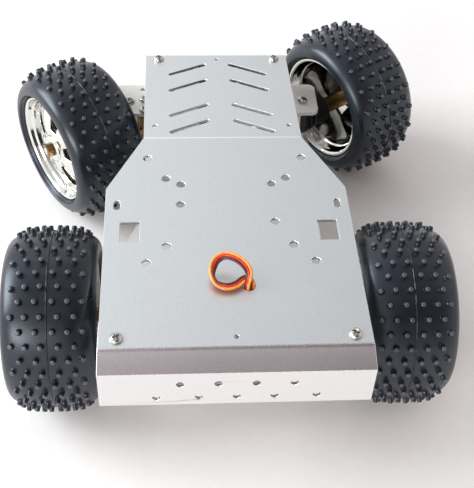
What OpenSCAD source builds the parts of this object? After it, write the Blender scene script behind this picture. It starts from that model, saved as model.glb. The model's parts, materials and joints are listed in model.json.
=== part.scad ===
// Four-wheel robot chassis: rear gearmotor drive, servo parallelogram steering, pin tyres.
// +X right, +Y forward, +Z up. The origin is on the ground, on the centre line, midway between the axles.
// The steered wheels stand at the left stop, steer_angle from straight ahead.

/* [Wheels] */
// Distance between the rear axle and the kingpins
wheelbase = 146; // [140:1:152]
// Tyre diameter over the tread pins
tyre_d = 86; // [84:0.5:88]
// Tyre width across its sidewalls
tyre_w = 41.6; // [38:0.2:42]
// Distance between the middles of the rear tyres
rear_track = 158.4; // [156:0.4:164]
// Radius of the rim's edge
rim_r = 29.7; // [29:0.1:30]
// Number of rim spokes
spokes = 5; // [5:1:6]

/* [Steering] */
// Angle of the front wheels to the left of straight ahead
steer_angle = 32.7; // [0:0.1:33]
// Distance between the kingpins
kingpin_gap = 97; // [96:0.5:98]
// Distance from a kingpin to the middle of its tyre
kingpin_offset = 32; // [31.5:0.5:33]
// Length of the knuckle arms and of the servo horn
arm_len = 20; // [19:0.5:20]

/* [Deck] */
// Height of the deck's top face
deck_h = 83.1; // [82.5:0.1:85]
// Thickness of the deck and the bent sheets
sheet_t = 1.5; // [1.2:0.1:1.6]
// Width of the main deck
deck_w = 112; // [110:1:114]
// Width of the narrow nose
nose_w = 78; // [76:1:80]
// Downward slope of the nose
nose_slope = 7.2; // [7:0.1:7.4]
// Overhang of the deck behind the rear axle
deck_overhang = 49.6; // [48:0.1:52]

/* [Bumper] */
// Distance from the rear axle back to the bumper's face
bumper_back = 59.5; // [58:0.5:62]
// Height of the bumper's lower edge
bumper_low = 57.5; // [55:0.5:60]

/* [Hidden] */
$fn = 48;

// Fasteners: M3 screws and nuts
m3_r = 1.5;
m3_hole_r = 1.6;
pan_r = 2.8;
pan_h = 2;
nut_af = 5.5;
nut_h = 2.4;
lock_nut_h = 4;
// Radius of a bore that turns on an M3 screw
m3_pivot_r = 1.56;

// Levels
axle_z = tyre_d / 2;
floor_t = 2;
floor_z = 24;
floor_top = floor_z + floor_t;
plate_z = 52;
plate_t = 2;
plate_top = plate_z + plate_t;
deck_low = deck_h - sheet_t;

// Places along the chassis
rear_y = -wheelbase / 2;
kingpin_y = wheelbase / 2;
kingpin_x = kingpin_gap / 2;
deck_back_y = rear_y - deck_overhang;
taper_y = rear_y + 43.6;
bend_y = rear_y + 80.1;
nose_front_y = rear_y + 163.7;
bumper_y = rear_y - bumper_back;
tail_y = rear_y - 33;
tail_end_y = rear_y - 49.4;

// Deck holes: x, y, radius
deck_hole_r = 2.1;
pilot_r = 1;
deck_holes = [[-37, rear_y + 65], [37, rear_y + 65], [-28.25, rear_y + 50.4], [28.25, rear_y + 50.4],
    [-21.3, rear_y + 46.3], [21.3, rear_y + 46.3], [-21.6, rear_y + 32.8], [21, rear_y + 21.1],
    [-28.25, rear_y + 6.4], [28.25, rear_y + 6.4], [-37, rear_y - 3.5], [37, rear_y - 3.5]];
corner_screw = [48.7, rear_y - 44.9];
slot_at = [50.7, rear_y + 32.7];
window_at = [44.6, rear_y + 15.4];
window_size = [8.8, 12.4];
lead_hole = [6.8, -90.6];
lead_hole_r = 2.8;
// Nose features, measured forward from the bend along the slope
nose_screw = [31.8, 79.6];
nose_pilot = [33.6, 11.1];
chevron_inner = [73.3, 56.3, 31.1, 15.6];
chevron_x = 7.2;
chevron_run = [18, 10.3];
chevron_w = 2.6;

// Bumper holes on its upright face
bumper_top_z = 78.2;
bumper_upper = [-23.25, -7.75, 7.75, 23.25];
bumper_lower = [-33, -15.5, 0, 15.5, 33];
bumper_upper_z = 70.9;
bumper_lower_z = 62.3;

// Posts and plates
post_af = 5;
front_post_at = [[40.2, 65], [27, 80], [14.5, 36]];
plate_screw_at = [40.2, 74.5];
stop_at = [45.4, 65.6];
stop_r = 2.4;
wing_x = 56.6;
wing_y = [62.3, 88.3];
waist_x = 33;

// Servo, hung under the front upper plate with its shaft down
servo_w = 19.8;
servo_y = [kingpin_y - 30.4, kingpin_y + 10.2];
servo_z = [34.5, 42.7, 64, 71];
ear_t = 2.5;
ear_reach = 7.4;
servo_mid = (servo_y[0] + servo_y[1]) / 2;
servo_bolt = [5, 24.4];
servo_shaft_r = 2.95;

// Knuckle, linkage
hub_r = 5.5;
barrel_r = 8;
barrel_x = [4.5, 15];
knuckle_z = [35, 51.4];
bearing_r = 4.5;
bearing_w = 3;
bearing_x = [5, 12];
axle_r = 2.5;
axle_end_r = 2;
arm_z = [36.5, 41];
arm_half_w = 4.5;
eye_z = [30.8, 34.7];
eye_r = 4;
rod_r = 1.5;
horn_z = [28, 30.5];
joint_gap = 0.2;

// Rear drive
motor_face_x = 48;
wall_t = 2;
gearbox_r = 12.5;
gearbox_len = 19;
can_r = 12.2;
can_len = 24;
motor_boss_r = 3.5;
motor_bolt = 8.5;
shaft_r = 2;
shaft_len = 14;

// Wheel: o is measured outward from the middle of the tyre along its axle
hub_o = [3, 18];
hub_hex_depth = 5;
hub_out_r = 8;
hex_af = 8;
nut_o = 21.2;
nut_m4_af = 7;
stud_o = 21.5;
web_o = [8, 11.6];
web_hub_o = [12.2, 16.6];
barrel_in_r = 25;
lip_o = 18.2;
seat_r = 28.2;
tyre_n = 2.6;
sidewall_r = 31.5;

// Servo lead: a bundle of three wires, from the servo, up through the deck, round once and down again
lead_d = 2.2;
lead_route = [[0, 42, 66], [0, 36, 65.5], [0, 28, 63], [0, 15, 60.5], [0, 0, 59.5], [0, -15, 59],
    [0, -30, 58.5], [0, -45, 58.5], [0, -58, 59], [1, -72, 60.5], [3, -82, 63], [5, -89, 68], [5.7, -91.3, 74],
    [5.7, -91.3, 80], [5.7, -91.3, 84], [6.4, -90.1, 87.2], [6.4, -87.8, 89.5], [4.4, -84.6, 90.7],
    [0.8, -81.4, 91], [-3.2, -79.6, 90.4], [-6.8, -80.8, 89], [-8.6, -84.2, 87.4], [-8.8, -87.8, 86.2],
    [-6.8, -91.2, 85.4], [-2.8, -92.8, 85.2], [1.2, -91.6, 85.2], [4.4, -88.7, 85.2], [7.2, -87.6, 84.8],
    [8.2, -88.8, 83.2], [7.9, -89.9, 80], [7.9, -89.9, 75], [8.4, -90.6, 68], [8, -91.8, 58], [7.6, -92.8, 48],
    [7, -93.8, 39], [5, -95.2, 32.5], [1, -97, 28.8], [-5, -98.8, 27.4], [-12, -99.8, 27.4],
    [-20, -99.5, 27.4], [-28, -98, 27.4]];
plug_size = [14, 7.6, 2.6];

// Helpers

module at_both_sides() {
    children();
    mirror([1, 0, 0]) children();
}

module hex_bar(af, h) {
    cylinder(r = af / 2 / cos(30), h = h, $fn = 6);
}

module along_x(from, to, r) {
    translate([from, 0, 0]) rotate([0, 90, 0]) cylinder(r = r, h = to - from);
}

// M3 pan-head screw, head up, its head resting on z = 0
module pan_screw(shank) {
    difference() {
        union() {
            rotate_extrude() polygon([[0, 0], [pan_r, 0], [pan_r, 1.1], [2.1, pan_h], [0, pan_h]]);
            translate([0, 0, -shank]) cylinder(r = m3_r, h = shank);
        }
        for (a = [0, 90])
            rotate([0, 0, a]) translate([-1.5, -0.3, pan_h - 1]) cube([3, 0.6, 2]);
    }
}

module ring(outer, inner, h) {
    difference() {
        cylinder(r = outer, h = h);
        translate([0, 0, -1]) cylinder(r = inner, h = h + 2);
    }
}

module slot_2d(a, b, w) {
    d = b - a;
    translate(a) circle(d = w);
    translate(b) circle(d = w);
    translate(a) rotate(atan2(d[1], d[0])) translate([0, -w / 2]) square([norm(d), w]);
}

module rounded_2d(low, high, r) {
    for (x = [low[0] + r, high[0] - r]) for (y = [low[1] + r, high[1] - r]) translate([x, y]) circle(r = r);
    translate([low[0] + r, low[1]]) square([high[0] - low[0] - 2 * r, high[1] - low[1]]);
    translate([low[0], low[1] + r]) square([high[0] - low[0], high[1] - low[1] - 2 * r]);
}

// A profile drawn in Y and Z, run across the chassis
module across(width) {
    rotate([90, 0, 90]) linear_extrude(width, center = true) children();
}

// Sheet metal

module deck_outline_2d() {
    polygon([[-deck_w / 2, deck_back_y], [deck_w / 2, deck_back_y], [deck_w / 2, taper_y], [nose_w / 2, bend_y],
        [nose_w / 2, nose_front_y + 1], [-nose_w / 2, nose_front_y + 1], [-nose_w / 2, bend_y],
        [-deck_w / 2, taper_y]]);
}

module deck_holes_2d() {
    for (h = deck_holes) translate(h) circle(r = deck_hole_r);
    for (s = [-1, 1]) {
        translate([s * corner_screw[0], corner_screw[1]]) circle(r = m3_hole_r);
        translate([s * window_at[0], window_at[1]]) square(window_size, center = true);
        translate([s * slot_at[0], slot_at[1]]) slot_2d([0, -1.5], [0, 1.5], 3);
    }
    translate([0, corner_screw[1]]) circle(r = pilot_r);
    translate(lead_hole) circle(r = lead_hole_r);
}

module nose_holes_2d() {
    for (s = [-1, 1]) {
        translate([s * nose_screw[0], nose_screw[1]]) circle(r = m3_hole_r);
        translate([s * nose_pilot[0], nose_pilot[1]]) circle(r = 1.3);
        for (y = chevron_inner)
            slot_2d([s * chevron_x, y], [s * (chevron_x + chevron_run[0]), y - chevron_run[1]], chevron_w);
    }
    translate([0, nose_screw[1]]) circle(r = pilot_r);
}

function nose_top(y) = deck_h - (y - bend_y) * tan(nose_slope);

// Stands its children on the nose's plane, y measured forward from the bend
module on_nose() {
    translate([0, bend_y, deck_h]) rotate([-nose_slope, 0, 0]) children();
}

module deck_plate() {
    color("silver") difference() {
        intersection() {
            across(deck_w + 10) polygon([[deck_back_y, deck_low], [deck_back_y, deck_h], [bend_y, deck_h],
                [nose_front_y, nose_top(nose_front_y)],
                [nose_front_y - sheet_t * sin(nose_slope), nose_top(nose_front_y) - sheet_t * cos(nose_slope)],
                [bend_y - sheet_t * tan(nose_slope / 2), deck_low]]);
            linear_extrude(2 * deck_h) deck_outline_2d();
        }
        translate([0, 0, deck_low - 1]) linear_extrude(sheet_t + 2) deck_holes_2d();
        on_nose() translate([0, 0, -sheet_t - 1]) linear_extrude(sheet_t + 2) nose_holes_2d();
    }
}

module rear_bumper() {
    color("lightgray") difference() {
        across(deck_w + 0.8) polygon([[deck_back_y + 15, deck_low], [deck_back_y - 0.3, deck_low],
            [bumper_y, bumper_top_z], [bumper_y, bumper_low], [bumper_y + sheet_t, bumper_low],
            [bumper_y + sheet_t, bumper_top_z - 1], [deck_back_y, deck_low - sheet_t],
            [deck_back_y + 15, deck_low - sheet_t]]);
        for (x = bumper_upper) translate([x, bumper_y, bumper_upper_z]) rotate([90, 0, 0])
            cylinder(r = m3_hole_r, h = 8, center = true);
        for (x = bumper_lower) translate([x, bumper_y, bumper_lower_z]) rotate([90, 0, 0])
            cylinder(r = m3_hole_r, h = 8, center = true);
        for (x = [-1, 1]) translate([x * corner_screw[0], corner_screw[1], deck_low - 4])
            cylinder(r = m3_hole_r, h = 8);
        translate([0, corner_screw[1], deck_low - 4]) cylinder(r = pilot_r, h = 8);
    }
}

// The lower plate folded up behind the motors, and over under the bumper's flange
module tail() {
    top = deck_low - sheet_t;
    difference() {
        translate([0.75, 0, 0]) across(103.5) polygon([[tail_y, floor_z], [tail_y, top - floor_t],
            [tail_end_y, top - floor_t], [tail_end_y, top], [tail_y + floor_t, top],
            [tail_y + floor_t, floor_z]]);
        translate([0, tail_y, 0]) rotate([90, 0, 0]) linear_extrude(3 * floor_t, center = true)
            rounded_2d([-28, 33], [28, 70], 4);
        for (s = [-1, 1]) translate([s * corner_screw[0], corner_screw[1], top - floor_t - 1])
            cylinder(r = m3_hole_r, h = floor_t + 2);
    }
}

module bottom_plate() {
    color("gray") {
        floor_sheet();
        tail();
    }
}

module floor_sheet() {
    translate([0, 0, floor_z]) linear_extrude(floor_t) difference() {
        union() {
            polygon([[-51, tail_y], [52.5, tail_y], [52.5, rear_y + 77], [waist_x, rear_y + 103],
                [waist_x, 68], [-waist_x, 68], [-waist_x, rear_y + 106.5], [-51, rear_y + 60.6]]);
            rounded_2d([-54, wing_y[0]], [54, 84], 4);
        }
        for (s = [-1, 1]) {
            translate([s * kingpin_x, kingpin_y]) circle(r = m3_hole_r);
            for (p = front_post_at) translate([s * p[0], p[1]]) circle(r = m3_hole_r);
            for (p = bracket_bolts()) translate([s * p[0], p[1]]) circle(r = m3_hole_r);
        }
        translate([0, kingpin_y]) circle(r = 7);
    }
}

module front_upper_plate() {
    color("silver") translate([0, 0, plate_z]) linear_extrude(plate_t) difference() {
        union() {
            rounded_2d([-wing_x, wing_y[0]], [wing_x, wing_y[1]], 4);
            translate([-36, 64]) square([72, 27]);
            rounded_2d([-18.5, 32], [18.5, 91], 2);
        }
        translate([-servo_w / 2 - 0.4, servo_y[0] - 0.4])
            square([servo_w + 0.8, servo_y[1] - servo_y[0] + 0.8]);
        for (s = [-1, 1]) {
            translate([s * kingpin_x, kingpin_y]) circle(r = m3_hole_r);
            for (p = front_post_at) translate([s * p[0], p[1]]) circle(r = m3_hole_r);
            translate([s * plate_screw_at[0], plate_screw_at[1]]) circle(r = m3_r);
            translate([s * (plate_screw_at[0] + 1), 84.2]) circle(r = 1.3);
            for (e = [-1, 1])
                translate([s * servo_bolt[0], servo_mid + e * servo_bolt[1]]) circle(r = m3_hole_r);
        }
    }
}

// Folded support between the front upper plate and the nose, with a gap for the servo
module nose_bracket() {
    back = 79.5;
    foot = 75.6;
    top = function (y) nose_top(y) - sheet_t / cos(nose_slope);
    color("lightgray") difference() {
        across(70) polygon([[back, top(back)], [nose_front_y, top(nose_front_y)], [nose_front_y, plate_top],
            [foot, plate_top], [foot, plate_top + sheet_t], [nose_front_y - sheet_t, plate_top + sheet_t],
            [nose_front_y - sheet_t, top(nose_front_y - sheet_t) - sheet_t], [back, top(back) - sheet_t]]);
        for (s = [-1, 1]) on_nose() translate([s * nose_screw[0], nose_screw[1], -sheet_t - 4])
            cylinder(r = m3_r, h = 5);
        translate([-13, foot - 1, plate_top - 1]) cube([26, 30, 12]);
        translate([-11, back - 1, plate_top + 5]) cube([22, 84.2 - back + 1, 20]);
        for (s = [-1, 1]) translate([s * front_post_at[1][0], front_post_at[1][1], plate_top - 1])
            cylinder(r = m3_hole_r, h = 4);
        on_nose() translate([0, nose_screw[1], -sheet_t - 4]) cylinder(r = pilot_r, h = 5);
    }
}

// Posts and fasteners

module tapped_post(af, low, high) {
    difference() {
        translate([0, 0, low]) hex_bar(af, high - low);
        translate([0, 0, low - 1]) cylinder(r = m3_r, h = 9);
        translate([0, 0, high - 8]) cylinder(r = m3_r, h = 9);
    }
}

module corner_nuts() {
    color("gainsboro") at_both_sides()
        translate([corner_screw[0], corner_screw[1], deck_low - sheet_t - floor_t - nut_h]) difference() {
            hex_bar(nut_af, nut_h);
            translate([0, 0, -1]) cylinder(r = m3_r, h = nut_h + 2);
        }
}

module front_posts() {
    color("goldenrod") at_both_sides() for (p = front_post_at)
        translate([p[0], p[1], 0]) tapped_post(post_af, floor_top, plate_z);
}

module deck_screws() {
    color("gainsboro") at_both_sides() {
        translate([corner_screw[0], corner_screw[1], deck_h]) pan_screw(9);
        on_nose() translate([nose_screw[0], nose_screw[1], 0]) pan_screw(6);
    }
}

function bracket_bolts() = [[38, rear_y + 15.5], [38, rear_y - 15.5]];

// Screws through the floor from below, and into the front upper plate from above
module pan_head_screws() {
    color("gainsboro") at_both_sides() {
        for (p = front_post_at) translate([p[0], p[1], floor_z]) mirror([0, 0, 1]) pan_screw(8);
        for (p = bracket_bolts()) translate([p[0], p[1], floor_z]) mirror([0, 0, 1]) pan_screw(4);
        for (p = front_post_at) {
            under = p == front_post_at[1] ? sheet_t : 0;
            translate([p[0], p[1], plate_top + under]) pan_screw(8 + under);
        }
        translate([plate_screw_at[0], plate_screw_at[1], plate_top]) pan_screw(plate_t);
    }
}

module kingpin_screws() {
    color("dimgray") at_both_sides() translate([kingpin_x, kingpin_y, plate_top])
        pan_screw(plate_top - floor_z + lock_nut_h);
}

module kingpin_spacers() {
    color("silver") at_both_sides() translate([kingpin_x, kingpin_y, 0]) {
        translate([0, 0, floor_top]) ring(3.2, m3_r, knuckle_z[0] - floor_top - 0.15);
        translate([0, 0, knuckle_z[1] + 0.15]) ring(3.2, m3_r, plate_z - knuckle_z[1] - 0.15);
    }
}

module kingpin_nuts() {
    color("gainsboro") at_both_sides() translate([kingpin_x, kingpin_y, floor_z - lock_nut_h]) difference() {
        hex_bar(nut_af, lock_nut_h);
        translate([0, 0, -1]) cylinder(r = m3_r, h = lock_nut_h + 2);
    }
}

module steering_stops() {
    color("whitesmoke") at_both_sides() translate([stop_at[0], stop_at[1], 0]) {
        translate([0, 0, 43]) cylinder(r = stop_r, h = plate_z - 43);
        translate([0, 0, 43]) sphere(r = stop_r);
    }
}

// Servo

module servo_box(low, high) {
    translate([-servo_w / 2, servo_y[0], low]) cube([servo_w, servo_y[1] - servo_y[0], high - low]);
}

module at_servo_bolts() {
    for (x = [-1, 1]) for (y = [-1, 1])
        translate([x * servo_bolt[0], servo_mid + y * servo_bolt[1], 0]) children();
}

module servo_case() {
    color("#202022") difference() {
        union() {
            servo_box(servo_z[1], servo_z[2]);
            translate([-servo_w / 2 + 0.4, servo_y[0] - ear_reach, servo_z[1]])
                cube([servo_w - 0.8, servo_y[1] - servo_y[0] + 2 * ear_reach, ear_t]);
        }
        at_servo_bolts() translate([0, 0, servo_z[1] - 1]) cylinder(r = m3_hole_r, h = 5);
    }
}

module servo_gear_cover() {
    color("#202022") difference() {
        union() {
            servo_box(servo_z[0], servo_z[1]);
            translate([0, kingpin_y, servo_z[0] - 1.3]) cylinder(r = 6, h = 1.3);
        }
        translate([0, kingpin_y, servo_z[0] - 2]) cylinder(r = servo_shaft_r + 0.05, h = 6);
    }
}

module servo_base_cover() {
    color("#202022") servo_box(servo_z[2], servo_z[3]);
}

module servo_spacers() {
    color("silver") at_servo_bolts() translate([0, 0, servo_z[1] + ear_t])
        ring(3, m3_r, plate_z - servo_z[1] - ear_t);
}

module servo_screws() {
    color("gainsboro") at_servo_bolts() {
        translate([0, 0, plate_top]) pan_screw(plate_top - servo_z[1] + nut_h);
        translate([0, 0, servo_z[1] - nut_h]) difference() {
            hex_bar(nut_af, nut_h);
            translate([0, 0, -1]) cylinder(r = m3_r, h = nut_h + 2);
        }
    }
}

// Rear drive, drawn for the right side

module on_rear_axle() {
    translate([0, rear_y, axle_z]) children();
}

module motor_bracket() {
    half = 19.5;
    color("silver") difference() {
        union() {
            on_rear_axle() {
                along_x(motor_face_x, motor_face_x + wall_t, 16);
                translate([motor_face_x, -16, floor_top - axle_z]) cube([wall_t, 32, axle_z - floor_top]);
            }
            translate([28, rear_y - half, floor_top]) cube([motor_face_x + wall_t - 28, 2 * half, wall_t]);
        }
        on_rear_axle() {
            along_x(motor_face_x - 1, motor_face_x + wall_t + 1, motor_boss_r + 0.1);
            for (s = [-1, 1]) translate([0, s * motor_bolt, 0])
                along_x(motor_face_x - 1, motor_face_x + 3, m3_hole_r);
        }
        for (p = bracket_bolts()) translate([p[0], p[1], floor_top - 1]) cylinder(r = m3_r, h = 4);
    }
}

module gearbox() {
    color("darkgray") on_rear_axle() difference() {
        union() {
            along_x(motor_face_x - gearbox_len, motor_face_x, gearbox_r);
            along_x(motor_face_x, motor_face_x + 2.4, motor_boss_r);
        }
        along_x(motor_face_x - 8, motor_face_x + 3, shaft_r + 0.05);
        for (s = [-1, 1]) translate([0, s * motor_bolt, 0]) along_x(motor_face_x - 3, motor_face_x + 1, m3_r);
    }
}

module motor_can() {
    color("silver") on_rear_axle()
        along_x(motor_face_x - gearbox_len - can_len, motor_face_x - gearbox_len, can_r);
}

module motor_end_caps() {
    end = motor_face_x - gearbox_len - can_len;
    color("#303030") at_both_sides() on_rear_axle() {
        along_x(end - 1.2, end, 10);
        for (s = [-1, 1]) translate([end - 3, s * 6 - 1, -0.4]) cube([2, 2, 0.8]);
    }
}

module motor_screws() {
    color("gainsboro") at_both_sides() on_rear_axle() for (s = [-1, 1])
        translate([motor_face_x + wall_t, s * motor_bolt, 0]) rotate([0, 90, 0]) pan_screw(wall_t + 3);
}

module motor_shaft() {
    color("gainsboro") on_rear_axle() {
        along_x(motor_face_x - 7, motor_face_x + shaft_len, shaft_r);
        along_x(motor_face_x + shaft_len + 1, rear_track / 2 + stud_o, axle_end_r);
    }
}

// Wheel, its axle along +X and its middle at the origin

function crown(o, top) =
    sidewall_r + (top - sidewall_r) * pow(1 - pow(abs(o) / (tyre_w / 2), tyre_n), 1 / tyre_n);
crown_o = [for (i = [-10:10]) tyre_w / 2 * sin(i * 9)];

module tyre() {
    wall = 2.6;
    lip = lip_o - 1.2;
    inner_w = tyre_w / 2 - wall;
    outer = [for (o = crown_o) [crown(o, axle_z), o]];
    cavity = [for (i = [-8:8]) let (a = i * 11.25)
        [sidewall_r + (axle_z - 5 - sidewall_r) * cos(a), inner_w * sin(a)]];
    color("#26272b") rotate([0, 90, 0]) rotate_extrude() difference() {
        polygon(concat([[seat_r, -lip], [rim_r + 0.2, -lip]], [[rim_r + 0.4, -lip - 2]], outer,
            [[rim_r + 0.4, lip + 2]], [[rim_r + 0.2, lip], [seat_r, lip]]));
        polygon(concat(cavity, [[seat_r - 1, 12.4], [seat_r - 1, -12.4]]));
    }
}

module rim() {
    lip = lip_o - 1.2;
    window_half = 14;
    color("#c9c9c4") difference() {
        union() {
            rotate([0, 90, 0]) rotate_extrude() polygon([[rim_r, -lip_o], [rim_r, -lip], [seat_r, -lip],
                [seat_r, -12.4], [26.6, -11], [26.6, 11], [seat_r, 12.4], [seat_r, lip], [rim_r, lip],
                [rim_r, lip_o],
                [27.6, lip_o], [27, 14], [barrel_in_r, 12], [barrel_in_r, -12], [27, -14], [27.6, -lip_o]]);
            along_x(hub_o[0], hub_o[1], hub_out_r);
            difference() {
                rotate([0, 90, 0]) rotate_extrude() polygon([[hub_out_r - 1, web_hub_o[0]],
                    [hub_out_r - 1, web_hub_o[1]], [14, 15.6], [20, 13.8], [barrel_in_r + 0.5, web_o[1]],
                    [barrel_in_r + 0.5, web_o[0]], [20, 10.2], [14, 11.8]]);
                for (i = [0:spokes - 1]) rotate([i * 360 / spokes, 0, 0]) translate([web_o[0] - 1, 0, 0])
                    rotate([0, 90, 0]) linear_extrude(12) intersection() {
                        difference() {
                            circle(r = 23.5);
                            circle(r = 11);
                        }
                        polygon([[0, 0], [-40, 40 * tan(window_half)], [-40, -40 * tan(window_half)]]);
                    }
            }
        }
        translate([hub_o[0] - 1, 0, 0]) rotate([0, 90, 0]) hex_bar(hex_af, hub_hex_depth + 1);
        along_x(0, 20, axle_end_r);
    }
}

// Brass hex hub from the drive side to the rim's socket; the wider bore takes the shaft
module hex_hub(from, bore_to, bore_r) {
    color("goldenrod") difference() {
        translate([from, 0, 0]) rotate([0, 90, 0]) hex_bar(hex_af, hub_o[0] + hub_hex_depth - from);
        along_x(from - 1, bore_to, bore_r);
        along_x(from, hub_o[1], axle_end_r);
    }
}

module wheel_nut() {
    color("goldenrod") difference() {
        translate([hub_o[1], 0, 0]) rotate([0, 90, 0]) hex_bar(nut_m4_af, nut_o - hub_o[1]);
        along_x(hub_o[1] - 1, nut_o + 1, axle_end_r);
    }
}

// Front corner, its kingpin on the Z axis, outward along +X, straight ahead

module knuckle() {
    color("#1c1c1e") difference() {
        union() {
            translate([0, 0, knuckle_z[0]]) cylinder(r = hub_r, h = knuckle_z[1] - knuckle_z[0]);
            translate([0, -5, knuckle_z[0] + 1]) cube([barrel_x[0] + 1, 10, 14]);
            translate([0, 0, axle_z]) along_x(barrel_x[0], barrel_x[1], barrel_r);
            translate([-arm_half_w, 0, arm_z[0]]) cube([2 * arm_half_w, arm_len, arm_z[1] - arm_z[0]]);
            translate([0, arm_len, arm_z[0]]) cylinder(r = arm_half_w, h = arm_z[1] - arm_z[0]);
            translate([0, arm_len, eye_z[1] + joint_gap]) cylinder(r = 3.4, h = 3);
        }
        translate([0, 0, knuckle_z[0] - 1]) cylinder(r = m3_pivot_r, h = 20);
        translate([0, arm_len, eye_z[1]]) cylinder(r = m3_r, h = 10);
        translate([0, 0, axle_z]) along_x(bearing_x[0], barrel_x[1] + 1, bearing_r);
        translate([0, 0, axle_z]) along_x(2.8, bearing_x[0] + 1, axle_r + 0.2);
    }
}

module bearings() {
    color("silver") for (x = bearing_x) translate([x, 0, axle_z]) rotate([0, 90, 0])
        ring(bearing_r, axle_r + 0.03, bearing_w);
}

module arm_screw() {
    low = eye_z[0] - joint_gap;
    color("gainsboro") translate([0, arm_len, 0]) {
        translate([0, 0, arm_z[1]]) pan_screw(arm_z[1] - low + nut_h);
        translate([0, 0, low - nut_h]) difference() {
            hex_bar(nut_af, nut_h);
            translate([0, 0, -1]) cylinder(r = m3_r, h = nut_h + 2);
        }
    }
}

module axle_front() {
    color("gainsboro") translate([0, 0, axle_z]) {
        along_x(3, 27, axle_r);
        along_x(bearing_x[0] + bearing_w + 0.05, bearing_x[1] - 0.05, 3.3);
        along_x(20, kingpin_offset + stud_o, axle_end_r);
    }
}

// Puts a front corner's piece on its kingpin, steered; side is 1 on the right and -1 on the left
module at_kingpin(side) {
    translate([side * kingpin_x, kingpin_y, 0]) rotate([0, 0, steer_angle])
        mirror([side < 0 ? 1 : 0, 0, 0]) children();
}

module front_wheel(side) {
    at_kingpin(side) translate([kingpin_offset, 0, axle_z]) children();
}

module rear_wheel(side) {
    mirror([side < 0 ? 1 : 0, 0, 0]) translate([rear_track / 2, rear_y, axle_z]) children();
}

module rear_side(side) {
    mirror([side < 0 ? 1 : 0, 0, 0]) children();
}

// Linkage: both knuckle arms and the servo horn stay parallel
link_shift = arm_len * [-sin(steer_angle), cos(steer_angle)];
function link_pin(x) = [x + link_shift[0], kingpin_y + link_shift[1]];

module rod_eye(side) {
    difference() {
        union() {
            translate([0, 0, eye_z[0]]) cylinder(r = eye_r, h = eye_z[1] - eye_z[0]);
            translate([0, 0, (eye_z[0] + eye_z[1]) / 2]) rotate([0, side * 90, 0]) cylinder(r = 1.95, h = 14);
        }
        translate([0, 0, eye_z[0] - 1]) cylinder(r = m3_pivot_r, h = 6);
        translate([0, 0, (eye_z[0] + eye_z[1]) / 2]) rotate([0, side * 90, 0])
            translate([0, 0, 6]) cylinder(r = rod_r, h = 9);
    }
}

module rod_ends() {
    color("#1c1c1e") {
        translate(concat(link_pin(-kingpin_x), 0)) rod_eye(1);
        translate(concat(link_pin(kingpin_x), 0)) rod_eye(-1);
        translate(concat(link_pin(0), 0)) difference() {
            translate([-9, -4, eye_z[0]]) cube([18, 8, eye_z[1] - eye_z[0]]);
            translate([0, 0, eye_z[0] - 1]) cylinder(r = m3_pivot_r, h = 6);
            for (s = [-1, 1]) translate([0, 0, (eye_z[0] + eye_z[1]) / 2]) rotate([0, s * 90, 0])
                translate([0, 0, 4]) cylinder(r = rod_r, h = 6);
        }
    }
}

module tie_rod() {
    color("gainsboro") translate(concat(link_pin(0), (eye_z[0] + eye_z[1]) / 2)) {
        along_x(4, kingpin_x - 6, rod_r);
        along_x(-kingpin_x + 6, -4, rod_r);
    }
}

// Servo output, straight ahead, turned with the wheels
module at_servo_shaft() {
    translate([0, kingpin_y, 0]) rotate([0, 0, steer_angle]) children();
}

module servo_horn() {
    color("silver") at_servo_shaft() difference() {
        union() {
            translate([0, 0, horn_z[0]]) cylinder(r = 4.6, h = 4.4);
            translate([0, arm_len, horn_z[0]]) cylinder(r = 3.2, h = horn_z[1] - horn_z[0]);
            translate([-3, 0, horn_z[0]]) cube([6, arm_len, horn_z[1] - horn_z[0]]);
        }
        translate([0, 0, horn_z[0] + 1]) cylinder(r = servo_shaft_r, h = 8);
        translate([0, 0, horn_z[0] - 1]) cylinder(r = 1.25, h = 4);
        translate([0, arm_len, horn_z[0] - 1]) cylinder(r = m3_r, h = 4);
    }
}

module servo_shaft() {
    color("goldenrod") at_servo_shaft() difference() {
        translate([0, 0, horn_z[0] + 1]) cylinder(r = servo_shaft_r, h = 9);
        translate([0, 0, horn_z[0]]) cylinder(r = 1.25, h = 6);
    }
}

module horn_screws() {
    color("gainsboro") at_servo_shaft() {
        translate([0, arm_len, eye_z[1] + joint_gap]) pan_screw(eye_z[1] + joint_gap - horn_z[0]);
        translate([0, 0, horn_z[0] - 1.6]) cylinder(r = 2.6, h = 1.6);
        translate([0, 0, horn_z[0]]) cylinder(r = 1.25, h = 6);
    }
}

// Servo lead

function unit(v) = v / norm(v);
function ring_at(i) =
    let (last = len(lead_route) - 1,
        t = unit(lead_route[min(i + 1, last)] - lead_route[max(i - 1, 0)]),
        side = unit(cross(t, abs(t[2]) > 0.8 ? [0, 1, 0] : [0, 0, 1])),
        up = cross(side, t))
    [for (k = [0:7]) lead_route[i] + lead_d / 2 * (cos(k * 45) * side + sin(k * 45) * up)];

module servo_lead() {
    rings = len(lead_route);
    points = [for (i = [0:rings - 1]) each ring_at(i)];
    walls = [for (i = [0:rings - 2]) for (k = [0:7])
        [i * 8 + k, i * 8 + (k + 1) % 8, (i + 1) * 8 + (k + 1) % 8, (i + 1) * 8 + k]];
    caps = [[for (k = [7:-1:0]) k], [for (k = [0:7]) (rings - 1) * 8 + k]];
    color("firebrick") polyhedron(points, concat(walls, caps), convexity = 10);
}

module servo_plug() {
    end = lead_route[len(lead_route) - 1];
    corner = [end[0] - plug_size[0], end[1] - plug_size[1] / 2, floor_top + 0.05];
    color("#202022") translate(corner) difference() {
        cube(plug_size);
        for (k = [-1:1])
            translate([-1, plug_size[1] / 2 + k * 2.54 - 0.5, plug_size[2] / 2 - 0.5]) cube([7, 1, 1]);
    }
}

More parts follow.
